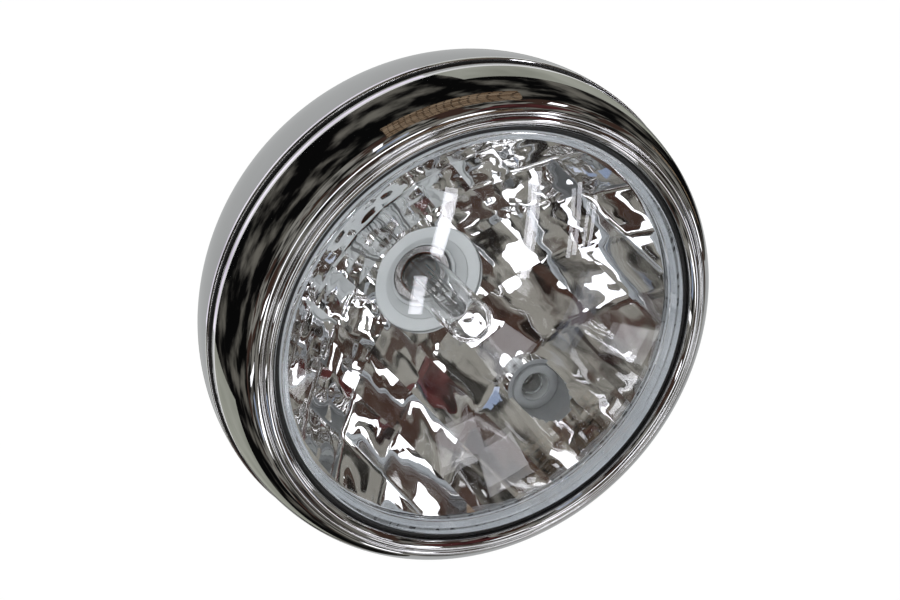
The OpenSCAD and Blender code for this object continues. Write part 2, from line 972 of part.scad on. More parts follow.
shell();
side_boss_left();
side_boss_right();
rear_grommet();
seam_seal();
bezel();
top_hook();
screw_bracket();
bracket_nut();
bezel_screw();
lens();
lens_gasket();
reflector();
clamp_ring();
clamp_clips();
bulb_collar();
bulb_cap();
bulb_insulator();
bulb_terminals();
bulb_glass();
bulb_shield();
filament_high();
filament_low();
bulb_clip();
bulb_boot();
pilot_holder();
pilot_glass();
pilot_filament();
pilot_socket();
pilot_terminals();
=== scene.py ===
# %% [markdown]
# A round motorcycle headlight: chrome bowl and bezel, clear domed lens, faceted mirror, main bulb and pilot
# lamp. The solids that hold the sizes are loaded first and stay where they are. Each cell after that models
# one piece of the real lamp as it would be made by hand in Blender, gives it its finish, and says which
# solid it stands for.

# %% The frame
import math

import bpy
from mathutils import Matrix, Vector, noise


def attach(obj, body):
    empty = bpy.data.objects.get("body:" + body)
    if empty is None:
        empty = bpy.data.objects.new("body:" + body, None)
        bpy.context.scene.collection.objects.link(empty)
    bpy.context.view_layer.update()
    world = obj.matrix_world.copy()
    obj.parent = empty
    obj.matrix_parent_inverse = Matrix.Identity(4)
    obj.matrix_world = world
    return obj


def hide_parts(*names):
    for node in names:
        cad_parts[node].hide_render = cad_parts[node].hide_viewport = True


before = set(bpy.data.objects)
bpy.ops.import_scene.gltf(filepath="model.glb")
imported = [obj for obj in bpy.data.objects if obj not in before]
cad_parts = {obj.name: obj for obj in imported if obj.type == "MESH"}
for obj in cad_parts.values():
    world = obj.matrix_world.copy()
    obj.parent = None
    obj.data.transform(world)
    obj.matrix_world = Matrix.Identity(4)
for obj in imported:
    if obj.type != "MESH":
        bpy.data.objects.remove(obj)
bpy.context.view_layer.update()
mm = 0.001

# %% [markdown]
# The camera comes first, because it decides how big everything is in the picture. The photograph looks at
# the lamp from in front and from above its own axis, and the lamp lies turned in the picture, so the camera
# is rolled. A camera can be made from a matrix whose columns are its right, its up and the way back from
# the lamp.

# %% The camera
mount_back = 14 * mm
camera_distance = 800 * mm
camera_rise = math.radians(34.5)
camera_roll = math.radians(45)

across = Vector((1, 0, 0))
upwards = Vector((0, math.sin(camera_rise), math.cos(camera_rise)))
backwards = Vector((0, -math.cos(camera_rise), math.sin(camera_rise)))
camera_right = across * math.cos(camera_roll) - upwards * math.sin(camera_roll)
camera_up = across * math.sin(camera_roll) + upwards * math.cos(camera_roll)
aim = Vector((0, -mount_back, 0))

camera = bpy.data.objects.new("camera", bpy.data.cameras.new("camera"))
bpy.context.scene.collection.objects.link(camera)
turn = Matrix((camera_right, camera_up, backwards)).transposed().to_4x4()
camera.matrix_world = Matrix.Translation(aim + backwards * camera_distance) @ turn
camera.data.lens = 86.8
camera.data.shift_x = -0.011
camera.data.shift_y = 0.0122
bpy.context.scene.camera = camera
bpy.context.scene.view_settings.view_transform = "Standard"
bpy.context.scene.cycles.max_bounces = 24
bpy.context.scene.cycles.glossy_bounces = 8
bpy.context.scene.cycles.transmission_bounces = 20
print("camera at", [round(v, 3) for v in camera.location])

# %% [markdown]
# Shader maths reads best as sums. One small class wraps a socket, so that 1 - mask or noise * 0.2 adds its
# Math node. A second class holds one material and makes any other node from its type, its settings and its
# inputs.


# %% Writing a finish as sums
class Value:
    def __init__(self, paint, socket):
        self.paint = paint
        self.socket = socket

    def sum(self, operation, *others):
        return self.paint.node("Math", {"operation": operation}, others)

    def __add__(self, other):
        return self.sum("ADD", self, other)

    def __sub__(self, other):
        return self.sum("SUBTRACT", self, other)

    def __rsub__(self, other):
        return self.sum("SUBTRACT", other, self)

    def __mul__(self, other):
        return self.sum("MULTIPLY", self, other)

    def above(self, edge, soft=0.02):
        """0 below the edge and 1 above it, with a soft step."""
        return self.paint.node(
            "MapRange", {"interpolation_type": "SMOOTHSTEP"},
            {"Value": self, "From Min": edge - soft, "From Max": edge + soft})

    __radd__ = __add__
    __rmul__ = __mul__


class Paint:
    def __init__(self, name, **constants):
        self.material = bpy.data.materials.new(name)
        self.material.use_nodes = True
        self.nodes = self.material.node_tree.nodes
        self.links = self.material.node_tree.links
        self.surface = self.nodes["Principled BSDF"]
        for socket, value in constants.items():
            self.surface.inputs[socket.replace("_", " ")].default_value = value

    def node(self, kind, settings=None, values=(), out=0):
        made = self.nodes.new("ShaderNode" + kind)
        for setting, value in (settings or {}).items():
            setattr(made, setting, value)
        pairs = values.items() if isinstance(values, dict) else enumerate(values)
        for key, value in pairs:
            self.feed(made.inputs[key], value)
        return Value(self, made.outputs[out])

    def feed(self, socket, value):
        if isinstance(value, Value):
            self.links.new(value.socket, socket)
        else:
            socket.default_value = value

    def place(self):
        return self.node("TexCoord", out="Object")

    def from_axis(self):
        """Distance from the lamp's axis, in metres."""
        flat = self.node("VectorMath", {"operation": "MULTIPLY"}, [self.place(), (1, 0, 1)])
        return self.node("VectorMath", {"operation": "LENGTH"}, [flat], out="Value")

    def noise(self, scale, detail=3, vector=None):
        return self.node("TexNoise", {}, {"Vector": vector or self.place(), "Scale": scale, "Detail": detail})

    def blend(self, mask, first, second):
        made = self.nodes.new("ShaderNodeMix")
        made.data_type = "RGBA"
        for socket, value in zip((made.inputs[0], made.inputs[6], made.inputs[7]), (mask, first, second)):
            self.feed(socket, value)
        return Value(self, made.outputs[2])

    def set(self, socket, value):
        self.feed(self.surface.inputs[socket], value)
        return self

    def bump(self, height, distance, strength=1):
        normal = self.node("Bump", {}, {"Height": height, "Distance": distance, "Strength": strength})
        return self.set("Normal", normal)


def grey(level, tint=(1, 1, 1)):
    return tuple(level * t for t in tint) + (1,)


print("finishes are written with Paint")

# %% [markdown]
# The finishes. Chrome and the mirror's coat are metals with almost no roughness, so what they show is the
# room round them, and only faint waves and a breath of haze are theirs. Plastics and rubber carry a fine
# grain. Glass is clear, with transmission, and the pale parts inside show through it.


# %% Finishes
def chrome_finish():
    paint = Paint("chrome", Metallic=1.0)
    haze = paint.noise(60, 4)
    paint.set("Base Color", paint.blend(haze, grey(0.58), grey(0.64, (1, 1, 1.01))))
    paint.set("Roughness", 0.02 + haze * 0.03)
    return paint.bump(paint.noise(35, 1), 0.05 * mm, 0.25)


def mirror_finish():
    paint = Paint("mirror_coat", Metallic=1.0)
    haze = paint.noise(90, 3)
    paint.set("Base Color", paint.blend(haze, grey(0.86), grey(0.93, (1, 1, 1))))
    paint.set("Roughness", 0.01 + haze * 0.02)
    return paint.bump(paint.noise(70, 2), 0.12 * mm, 0.4)


def steel_finish(name, level, roughness):
    paint = Paint(name, Metallic=1.0)
    grain = paint.noise(900, 3)
    paint.set("Base Color", paint.blend(grain, grey(level), grey(level + 0.1)))
    paint.set("Roughness", roughness + grain * 0.12)
    return paint.bump(grain, 0.02 * mm, 0.4)


def rubber_finish(name, roughness, strength):
    paint = Paint(name, Specular_IOR_Level=0.35)
    grain = paint.noise(1500, 4)
    paint.set("Base Color", paint.blend(grain, grey(0.012), grey(0.028)))
    paint.set("Roughness", roughness + grain * 0.2)
    return paint.bump(grain, 0.05 * mm, strength)


def plastic_finish(name, low, high, roughness):
    paint = Paint(name)
    grain = paint.noise(700, 4)
    paint.set("Base Color", paint.blend(grain, low, high))
    paint.set("Roughness", roughness + grain * 0.1)
    return paint.bump(grain, 0.03 * mm, 0.3)


def glass_finish(name, ior, tint):
    paint = Paint(name, Transmission_Weight=1.0, IOR=ior)
    smears = paint.noise(25, 2)
    paint.set("Base Color", paint.blend(smears, tint, grey(1.0)))
    paint.set("Roughness", smears.above(0.62, 0.1) * 0.012)
    return paint


def painted_glow_rim_finish():
    """The bonded rim of the glass: frosted and finely ringed, with a painted glow, an emission that stands in
    for light the glass pipes to it.
    """
    paint = Paint("glowing_bonded_rim", Emission_Strength=1.0)
    place = paint.node("SeparateXYZ", {}, {"Vector": paint.place()})
    depth = Value(paint, place.socket.node.outputs["Y"])
    along = (paint.from_axis() + depth) * 2200
    rings = paint.node("TexNoise", {"noise_dimensions": "1D"}, {"W": along, "Detail": 3})
    frost = paint.noise(120, 4)
    mix = rings.above(0.5, 0.16) * 0.7 + frost * 0.3
    paint.set("Base Color", paint.blend(mix, (0.42, 0.435, 0.455, 1), (0.80, 0.82, 0.85, 1)))
    # Painted glow: the emission colour makes the rim shine by itself, in place of light that the glass pipes
    # to it.
    paint.set("Emission Color", paint.blend(mix, (0.08, 0.086, 0.092, 1), (0.33, 0.35, 0.37, 1)))
    return paint.set("Roughness", 0.4 + frost * 0.2)


chrome = chrome_finish()
mirror_coat = mirror_finish()
plated_steel = steel_finish("plated_steel", 0.55, 0.22)
spring_steel = steel_finish("spring_steel", 0.62, 0.16)
cap_steel = steel_finish("cap_steel", 0.5, 0.2)
inside_cap = 1 - cap_steel.from_axis().above(8.7 * mm, 0.1 * mm)
cement = cap_steel.blend(cap_steel.noise(300, 3), (0.14, 0.028, 0.015, 1), (0.42, 0.12, 0.06, 1))
cap_steel.set("Base Color", cap_steel.blend(inside_cap, grey(0.5), cement))
cap_steel.set("Metallic", 1 - inside_cap)
brass_blade = Paint("brass_blade", Metallic=1.0)
brass_grain = brass_blade.noise(800, 3)
brass_blade.set("Base Color", brass_blade.blend(brass_grain, (0.62, 0.42, 0.16, 1), (0.78, 0.57, 0.26, 1)))
brass_blade.set("Roughness", 0.2 + brass_grain * 0.15)
black_rubber = rubber_finish("black_rubber", 0.5, 0.5)
smooth_rubber = rubber_finish("smooth_rubber", 0.2, 0.05)
pale_plastic = plastic_finish("pale_plastic", grey(0.70, (0.97, 1, 1)), grey(0.76, (0.98, 1, 1)), 0.3)
grey_plastic = plastic_finish("grey_plastic", grey(0.25, (0.96, 1, 1.02)), grey(0.30, (0.97, 1, 1.02)), 0.32)
dark_plastic = plastic_finish("dark_plastic", grey(0.03), grey(0.05), 0.4)
clear_glass = glass_finish("clear_glass", 1.49, grey(0.985, (0.99, 0.995, 1)))
bulb_clear = glass_finish("bulb_glass", 1.4, grey(0.99))
glowing_bonded_rim = painted_glow_rim_finish()
filament_wire = steel_finish("filament_wire", 0.35, 0.3)
print("finishes:", len(bpy.data.materials))

# %% [markdown]
# Most of the lamp is turned, so one helper does what a hand would do: a plane is merged to a single point,
# the point is extruded from place to place along half a section, and the section is spun about the lamp's
# axis. Radius and height are in millimetres, with the height counted forward from the seam between bowl and
# bezel.


# %% Turning a section
def deselect():
    if bpy.context.object and bpy.context.object.mode != "OBJECT":
        bpy.ops.object.mode_set(mode="OBJECT")
    bpy.ops.object.select_all(action="DESELECT")


def point_object(name):
    deselect()
    bpy.ops.mesh.primitive_plane_add(size=mm)
    made = bpy.context.object
    made.name = name
    bpy.ops.object.mode_set(mode="EDIT")
    bpy.ops.mesh.select_mode(type="VERT")
    bpy.ops.mesh.select_all(action="SELECT")
    bpy.ops.mesh.merge(type="CENTER")
    return made


def at(radius, height):
    return Vector((radius * mm, -height * mm - mount_back, 0))


def walk(places):
    here = Vector((0, 0, 0))
    for number, there in enumerate(places):
        if number == 0:
            bpy.ops.transform.translate(value=there - here)
        else:
            bpy.ops.mesh.extrude_region_move(TRANSFORM_OT_translate={"value": there - here})
        here = there


def tidy_mesh():
    bpy.ops.mesh.select_all(action="SELECT")
    bpy.ops.mesh.remove_doubles(threshold=0.002 * mm)
    bpy.ops.mesh.normals_make_consistent(inside=False)
    bpy.ops.object.mode_set(mode="OBJECT")


def turned(name, section, steps=192, closed=True, centre=(0, 0, 0)):
    made = point_object(name)
    places = [at(*point) for point in section]
    if closed:
        places.append(places[0])
    walk(places)
    if centre != (0, 0, 0):
        bpy.ops.mesh.select_all(action="SELECT")
        bpy.ops.transform.translate(value=centre)
    bpy.ops.mesh.select_all(action="SELECT")
    bpy.ops.mesh.spin(steps=steps, angle=2 * math.pi, center=centre, axis=(0, 1, 0))
    tidy_mesh()
    return made


def arc(centre, radius, start, end, steps, squeeze=1.0):
    """Points of an arc in the section, angles in degrees, squeeze flattens its height."""
    angles = [math.radians(start + (end - start) * i / steps) for i in range(steps + 1)]
    return [(centre[0] + radius * math.cos(a), centre[1] + radius * squeeze * math.sin(a)) for a in angles]


def dress(made, paint, slot, *stands_for, angle=30):
    """Smooths a finished piece, gives it its finish and hands it to the frame."""
    deselect()
    made.select_set(True)
    bpy.context.view_layer.objects.active = made
    bpy.ops.object.shade_smooth_by_angle(angle=math.radians(angle))
    made.data.materials.clear()
    made.data.materials.append(paint.material)
    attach(made, "root")
    if stands_for:
        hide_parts(*stands_for)
    print(made.name, len(made.data.polygons), "faces")
    return made


def cut(made, tool, operation="DIFFERENCE"):
    """Applies a boolean and throws the tool away."""
    deselect()
    made.select_set(True)
    bpy.context.view_layer.objects.active = made
    modifier = made.modifiers.new("cut", "BOOLEAN")
    modifier.operation = operation
    modifier.solver = "EXACT"
    modifier.object = tool
    bpy.ops.object.modifier_apply(modifier=modifier.name)
    bpy.data.objects.remove(tool)


def cylinder(name, radius, start, end, steps=96):
    """A closed bar from one place to another, both in metres."""
    deselect()
    start, end = Vector(start), Vector(end)
    bpy.ops.mesh.primitive_cylinder_add(
        vertices=steps, radius=radius, depth=(end - start).length, location=(0, 0, 0))
    made = bpy.context.object
    made.name = name
    spin = (end - start).to_track_quat("Z", "Y").to_matrix().to_4x4()
    made.data.transform(Matrix.Translation((start + end) / 2) @ spin)
    return made


def block(name, low, high):
    """A closed box between two opposite corners, in metres."""
    deselect()
    bpy.ops.mesh.primitive_cube_add(size=1)
    made = bpy.context.object
    made.name = name
    sides = [abs(b - a) for a, b in zip(low, high)]
    made.data.transform(Matrix.Translation((Vector(low) + Vector(high)) / 2) @ Matrix.Diagonal((*sides, 1)))
    return made


def face_height(face):
    """Height of a face forward from the seam, in millimetres."""
    return -(face.center.y + mount_back) / mm


# %% [markdown]
# The bowl is pressed from steel sheet and chromed. Its section is half an ellipse with a flat at the back
# for the cable grommet, a short straight band at the rim and a flange turned in. A turned section fits it
# well, because sheet is spun on a former in the same way. The seats of the two side bosses are cut through
# it afterwards.

# %% The bowl
rim_radius = 97
rim_height = -0.6
band_end = -2.9
sheet = 1.2
bowl_depth = 73.89
flange_radius = 88
flat_radius = 15.5
hole_radius = 11
flat_angle = math.degrees(math.acos(flat_radius / rim_radius))


def bowl_curve(inset, start, end, steps):
    share = (bowl_depth - inset) / (rim_radius - inset)
    return arc((0, band_end), rim_radius - inset, -start, -end, steps, share)


outer = bowl_curve(0, 0, flat_angle, 64)
inner = bowl_curve(sheet, 0, flat_angle, 64)
rolled_edge = arc((rim_radius - 0.4, rim_height - 0.4), 0.4, 90, 0, 6)
bowl_section = (
    [(flange_radius, rim_height)] + rolled_edge + outer
    + [(hole_radius, outer[-1][1]), (hole_radius, inner[-1][1])]
    + inner[::-1] + [(flange_radius, rim_height - sheet)]
)
bowl = turned("bowl", bowl_section, steps=256)
pad_radius = 8.1 * mm
for side in (-1, 1):
    cut(bowl, cylinder("pad_cut", pad_radius, (side * 86 * mm, 0, 0), (side * 99 * mm, 0, 0)))
dress(bowl, chrome, "chrome", "shell")

# %% [markdown]
# The bezel is the chrome ring that carries the glass. From the seam it swells in a quarter of an ellipse to
# a beaded lip, where a low rounded ring runs in to the opening and folds back over the rubber. The section
# follows both faces of the sheet, and the bead is an arc in it, so that it catches the thin bright line of
# the real one.

# %% The bezel
bezel_radius = 96
lip_radius = 86.5
opening_radius = 81.3
lip_height = 27
corner = 2
back_height = 0.6
bead = 1.0
crown_rise = 1.8
fold = 2
skirt_start = back_height + corner


def skirt(inset, steps):
    half_w = bezel_radius - lip_radius - inset
    half_h = lip_height - skirt_start - inset
    return arc((lip_radius, skirt_start), half_w, 0, 84, steps, half_h / half_w)


def crown(inset, steps, first, last):
    width = lip_radius - opening_radius
    shares = [first + (last - first) * i / steps for i in range(steps + 1)]
    return [(lip_radius - s * width, lip_height + crown_rise * math.sin(math.pi * s) - inset) for s in shares]


bezel_section = (
    [(bezel_radius - 8, back_height)]
    + arc((bezel_radius - 0.7, back_height + 0.7), 0.7, -90, 0, 6)
    + skirt(0, 40)
    + arc((lip_radius, lip_height - bead / 3), bead, 40, 150, 10)
    + crown(0, 14, 0.24, 0.94)
    + arc((opening_radius + 0.5, lip_height - 0.25), 0.5, 90, 180, 5)
    + [(opening_radius, lip_height - fold), (opening_radius + 1, lip_height - fold)]
    + crown(1, 8, 0.78, 0.1)
    + skirt(1, 30)[::-1]
    + arc((bezel_radius - corner, skirt_start), corner - 1, 0, -90, 4)
    + [(bezel_radius - 8, back_height + 1)]
)
bezel = turned("bezel_ring", bezel_section, steps=256)
screw_ahead = 8
screw_hole_radius = 2.8 * mm
screw_inside = (0, -screw_ahead * mm - mount_back, -80 * mm)
screw_outside = (0, -screw_ahead * mm - mount_back, -99 * mm)
cut(bezel, cylinder("screw_hole", screw_hole_radius, screw_inside, screw_outside, steps=48))
dress(bezel, chrome, "chrome", "bezel")

# %% [markdown]
# The lens is one thick pressing of clear glass: a shallow dome on a short neck, with a rim that the bezel
# holds. It has two faces, because light is bent where it enters and where it leaves, and that is what draws
# the fine rings near its edge. Its front edge is rounded, as moulded glass always is.

# %% The lens
dome_radius = 79
glass_rim = 84.3
mouth_height = 18
rim_top = 24
dome_start = 27
dome_rise = 12
glass = 3.5
ring_count = 10
ring_rise = 0.3
ring_step = 0.55


def dome(radius, rise, base, steps, last_radius):
    """A shallow dome from its crown out to last_radius."""
    ball = (radius ** 2 + rise ** 2) / (2 * rise)
    centre = base + rise - ball
    radii = [last_radius * i / steps for i in range(steps + 1)]
    return [(r, centre + math.sqrt(ball ** 2 - r ** 2)) for r in radii]


glass_inside = dome_radius - glass
rings = [
    (glass_inside + ring_rise * (i % 2), mouth_height + 1 + ring_step * i) for i in range(ring_count)
]
lens_section = (
    dome(dome_radius, dome_rise, dome_start, 48, dome_radius - 2.2)
    + arc((dome_radius - 1.6, dome_start - 1.1), 1.6, 72, 0, 8)
    + [(dome_radius, rim_top + 0.5), (dome_radius + 0.5, rim_top), (glass_rim - 0.4, rim_top)]
    + [(glass_rim, rim_top - 0.4), (glass_rim, mouth_height + 0.4), (glass_rim - 0.4, mouth_height)]
    + [(glass_inside + 0.5, mouth_height), (glass_inside, mouth_height + 0.5)]
    + rings
    + dome(glass_inside, dome_rise - 0.5, dome_start + 0.5 - glass, 48, glass_inside - 1)[::-1]
)
lens = turned("domed_lens", lens_section, steps=256, closed=False)
dress(lens, clear_glass, "clear_glass", "lens", angle=50)
# The bonded faces of the glass take the rim finish, with its painted glow.
lens.data.materials.append(glowing_bonded_rim.material)
bonded = 0
for face in lens.data.polygons:
    radius = math.hypot(face.center.x, face.center.z) / mm
    if radius > dome_radius - 0.2 and face_height(face) < dome_start - 0.6:
        face.material_index = 1
        bonded += 1
print("faces of the glass where it is bonded:", bonded)

gasket_bore = dome_radius + 0.1
gasket_top = rim_top + 1.5
gasket_section = [
    (gasket_bore, rim_top), (glass_rim, rim_top), (glass_rim, gasket_top - 0.6),
    (gasket_bore + 2.1, gasket_top - 0.6), (gasket_bore + 1.95, gasket_top - 0.3),
    (gasket_bore + 1.55, gasket_top - 0.08), (gasket_bore + 1.05, gasket_top),
    (gasket_bore + 0.55, gasket_top - 0.08), (gasket_bore + 0.2, gasket_top - 0.3),
    (gasket_bore, gasket_top - 0.6)
]
gasket = turned("gasket_ring", gasket_section, steps=192)
dress(gasket, smooth_rubber, "black_rubber", "lens_gasket", angle=50)

seal_bore = flange_radius + 0.5
seal_radius = bezel_radius - 1
seal_lip = seal_radius + 1.5
seal_section = [
    (seal_bore, rim_height), (seal_lip, rim_height), (seal_lip, rim_height + 0.15),
    (seal_radius + 0.2, rim_height + 0.3), (seal_radius, 0), (seal_radius, back_height - 0.3),
    (seal_radius - 0.4, back_height), (seal_bore, back_height)
]
seal = turned("seam_rubber", seal_section, steps=192)
dress(seal, smooth_rubber, "black_rubber", "seam_seal")

# %% [markdown]
# The mirror is the piece that the eye goes to. It is a deep bowl broken into upright strips and rows, and
# each cell bulges a little, so that it spreads the light sideways. A fine grid is lifted onto the bowl with
# a low swell in every cell, thickened into a block, and cut out of a turned body, which leaves crisp lines
# between smooth cells. The pocket of the pilot lamp has a wall of bare grey plastic, because the coat stops
# at its edge.

# %% The mirror
mirror_mouth = 75
mirror_depth = 54
mirror_wall = 3.2
strip_pitch = 14
row_pitch = 22.8
strip_swell = 0.8
row_swell = 0.8
wave_height = 0.3
wave_length = 9
focal = mirror_mouth ** 2 / (4 * mirror_depth)
vertex = mouth_height - mirror_depth
collar_radius = 22
collar_sink = 2
neck_radius = 28
neck_bore = 18.5
body_edge = 77.4
pilot_drop = 55
pilot_boss_radius = 11.4
pocket_radius = 9.5
socket_radius = 7.1
socket_depth = 15
boss_depth = 7.5


def bowl_height(radius):
    return vertex + radius ** 2 / (4 * focal)


def cell_swell(place):
    share = place - math.floor(place)
    return 4 * share * (1 - share)


def wave(x, up):
    """The uneven skin of moulded plastic under its coat, always the same at the same place."""
    coarse = noise.noise(Vector((x, up, 3)) / wave_length)
    fine = noise.noise(Vector((x, up, 40)) / (wave_length * 0.45))
    return wave_height * (coarse + 0.3 * fine)


def facet_height(x, up):
    swell = strip_swell * cell_swell(x / strip_pitch + 0.5) + row_swell * cell_swell(up / row_pitch)
    return bowl_height(math.hypot(x, up)) + swell + wave(x, up)


collar_face = bowl_height(collar_radius)
seat = collar_face - 8.5
pilot_seat = bowl_height(pilot_drop) - 3
steps_across = 12
strips = 12
rows = 8

deselect()
bpy.ops.mesh.primitive_grid_add(
    x_subdivisions=strips * steps_across, y_subdivisions=rows * steps_across, size=1)
facets = bpy.context.object
facets.name = "facets"
for vertex_point in facets.data.vertices:
    x = vertex_point.co.x * strips * strip_pitch
    up = vertex_point.co.y * rows * row_pitch
    vertex_point.co = Vector((x * mm, -facet_height(x, up) * mm - mount_back, up * mm))
bpy.ops.object.mode_set(mode="EDIT")
bpy.ops.mesh.select_all(action="SELECT")
bpy.ops.mesh.extrude_region_move(TRANSFORM_OT_translate={"value": (0, -200 * mm, 0)})
bpy.ops.transform.resize(value=(1, 0, 1), center_override=(0, -300 * mm, 0))
tidy_mesh()
inside_tool = cylinder("mouth", mirror_mouth * mm, at(0, seat), at(0, 200), steps=256)
cut(facets, inside_tool, "INTERSECT")

back_steps = 32
back_radii = [body_edge - (body_edge - neck_radius) * i / back_steps for i in range(back_steps + 1)]
body_section = (
    [(0, mouth_height)]
    + [(glass_rim - 0.3, mouth_height), (glass_rim, mouth_height - 0.3), (glass_rim, mouth_height - 1.6)]
    + [(radius, bowl_height(radius) - mirror_wall) for radius in back_radii]
    + [(neck_radius, seat), (0, seat)]
)
reflector = turned("mirror_bowl", body_section, steps=256, closed=False)
pilot_place = Vector((0, 0, -pilot_drop * mm))


def pilot_cylinder(name, radius, low, high):
    return cylinder(name, radius * mm, at(0, low) + pilot_place, at(0, high) + pilot_place)


boss_back = pilot_seat - boss_depth
cut(reflector, pilot_cylinder("boss", pilot_boss_radius, boss_back, pilot_seat + 19), "UNION")
cut(reflector, facets)
cut(reflector, pilot_cylinder("cup", pilot_boss_radius, boss_back, pilot_seat + 1), "UNION")
past_mouth = 60
cut(reflector, cylinder("neck_hole", neck_bore * mm, at(0, seat - 1), at(0, past_mouth)))
cut(reflector, cylinder(
    "collar_hole", (collar_radius + 0.1) * mm, at(0, collar_face - collar_sink), at(0, past_mouth)))
cut(reflector, pilot_cylinder("socket_hole", socket_radius, pilot_seat - socket_depth, past_mouth))
cut(reflector, pilot_cylinder("pocket", pocket_radius, pilot_seat, past_mouth))
dress(reflector, mirror_coat, "mirror_coat", "reflector", angle=12)
reflector.data.materials.append(grey_plastic.material)


def from_pilot(face):
    """Distance of a face from the pilot lamp's own axis, in millimetres."""
    return math.hypot(face.center.x, face.center.z + pilot_drop * mm) / mm


bare = 0
for face in reflector.data.polygons:
    if from_pilot(face) < pocket_radius + 0.2 and face_height(face) > pilot_seat - 1:
        face.material_index = 1
        bare += 1
print("faces of the pilot's pocket without a coat:", bare)

# %% [markdown]
# The pale collar closes the gap between the mirror and the main bulb. It shows a flat face, a funnel that
# runs down to the bulb and a dark bore, so its section has those steps with small rounded edges.

# %% Collar and pilot ring
throat = seat + 3.5
collar_section = [
    (12, seat + 0.1), (neck_bore - 0.1, seat + 0.1), (neck_bore - 0.1, collar_face - collar_sink),
    (collar_radius, collar_face - collar_sink), (collar_radius, collar_face - 0.6),
    (collar_radius - 0.2, collar_face - 0.2), (collar_radius - 0.6, collar_face), (17.4, collar_face - 0.3),
    (16.9, collar_face - 0.5), (16.7, collar_face - 1.0), (16.3, collar_face - 1.2), (13.4, throat + 1.2),
    (13.2, throat + 0.5), (12.4, throat + 0.3), (12, throat - 0.1)
]
collar = turned("collar", collar_section, steps=128)
dress(collar, pale_plastic, "pale_plastic", "bulb_collar")

pilot_face = pilot_seat + 2.5
pilot_back = pilot_seat - socket_depth
holder_bore = 5.7
holder_body = socket_radius - 0.1
holder_ring = pocket_radius - 0.1
holder_section = [
    (holder_bore, pilot_back), (holder_body, pilot_back), (holder_body, pilot_seat),
    (holder_ring, pilot_seat), (holder_ring, pilot_face - 0.5), (holder_ring - 0.15, pilot_face - 0.15),
    (holder_ring - 0.5, pilot_face), (holder_bore + 1.2, pilot_face), (holder_bore + 0.5, pilot_face - 0.3),
    (holder_bore, pilot_face - 1)
]
holder = turned("pilot_ring", holder_section, steps=96, centre=pilot_place[:])
dress(holder, grey_plastic, "grey_plastic", "pilot_holder")
# The bore takes the pale plastic, not the holder's grey: a painted lightening of a deep bore that light
# reaches only through the glass.
holder.data.materials.append(pale_plastic.material)
for face in holder.data.polygons:
    if from_pilot(face) < holder_bore + 0.1:
        face.material_index = 1

# %% [markdown]
# The main bulb is a clear tube with a domed end on a metal body, and the pilot bulb is a small one. Each is
# a solid tube first, and its hollow is cut out of it afterwards, so that the faces of the hollow look into
# the hollow and light is bent the right way. A solid glass foot is left to hold the wires.

# %% Bulb glass
tip = seat + 55
tube = 8.5


def round_ended(name, radius, foot, end, centre):
    section = [(0, foot), (radius, foot)] + arc((0, end - radius), radius, 0, 90, 16)
    return turned(name, section, steps=96, closed=False, centre=centre)


def glass_tube(name, radius, foot, plug, end, wall, centre=(0, 0, 0)):
    made = round_ended(name, radius, foot, end, centre)
    cut(made, round_ended("hollow", radius - wall, plug, end - wall, centre))
    return made


foot_depth = 6
plug_top = 4
bulb = glass_tube("bulb_tube", tube, seat - foot_depth, seat + plug_top, tip, 1)
dress(bulb, bulb_clear, "bulb_glass", "bulb_glass")
pilot_tube = 4.9
pilot_tip = pilot_face - 0.5
pilot_foot = pilot_tip - 14
shield_radius = 4.2
shield_inside = shield_radius - 0.5
shield_start = seat + 24
shield_end = shield_start + 12
shield_section = [
    (shield_radius, shield_start), (shield_inside, shield_start), (shield_inside, shield_end),
    (shield_radius, shield_end)
]
shield = turned("bulb_scoop", shield_section, steps=64)
lift = Vector((0, 0, mm))
cut(shield, block("upper_half", at(-10, shield_start - 2) + lift, at(10, shield_end + 2) + lift * 10))
below = Vector((0, 0, -shield_radius * mm))
stay = cylinder("stay", 0.5 * mm, at(0, seat + plug_top) + below, at(0, shield_start + 2) + below, steps=24)
cut(shield, stay, "UNION")
dress(shield, spring_steel, "plated_steel", "bulb_shield")
pilot_bulb = glass_tube(
    "pilot_tube", pilot_tube, pilot_foot, pilot_foot + plug_top, pilot_tip, 0.7, pilot_place[:])
dress(pilot_bulb, bulb_clear, "bulb_glass", "pilot_glass")

# %% [markdown]
# What is left of the solids is right as it is and only needs its finish. A solid's mesh is left alone and
# gets a material in its own slots.

# %% Finishes for the solids that stay
kept = {
    "side_boss_left": plated_steel, "side_boss_right": plated_steel, "rear_grommet": black_rubber,
    "top_hook": plated_steel, "screw_bracket": plated_steel, "bracket_nut": plated_steel,
    "bezel_screw": chrome, "clamp_ring": plated_steel, "clamp_clips": spring_steel,
    "bulb_cap": cap_steel, "bulb_insulator": dark_plastic, "bulb_terminals": brass_blade,
    "filament_high": filament_wire, "filament_low": filament_wire,
    "bulb_clip": spring_steel, "bulb_boot": black_rubber, "pilot_filament": filament_wire,
    "pilot_socket": dark_plastic, "pilot_terminals": brass_blade
}
for name, paint in kept.items():
    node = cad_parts[name]
    node.data.materials.clear()
    node.data.materials.append(paint.material)
print("solids with a finish:", len(kept))

# %% [markdown]
# The studio is plain: a pale floor well below the hanging lamp and a white world that lights it softly.
# Chrome and a mirror show nothing of their own, so glowing cards stand round the lamp as a photographer
# would place them. They are stage pieces, and only the lamp's reflections see them.


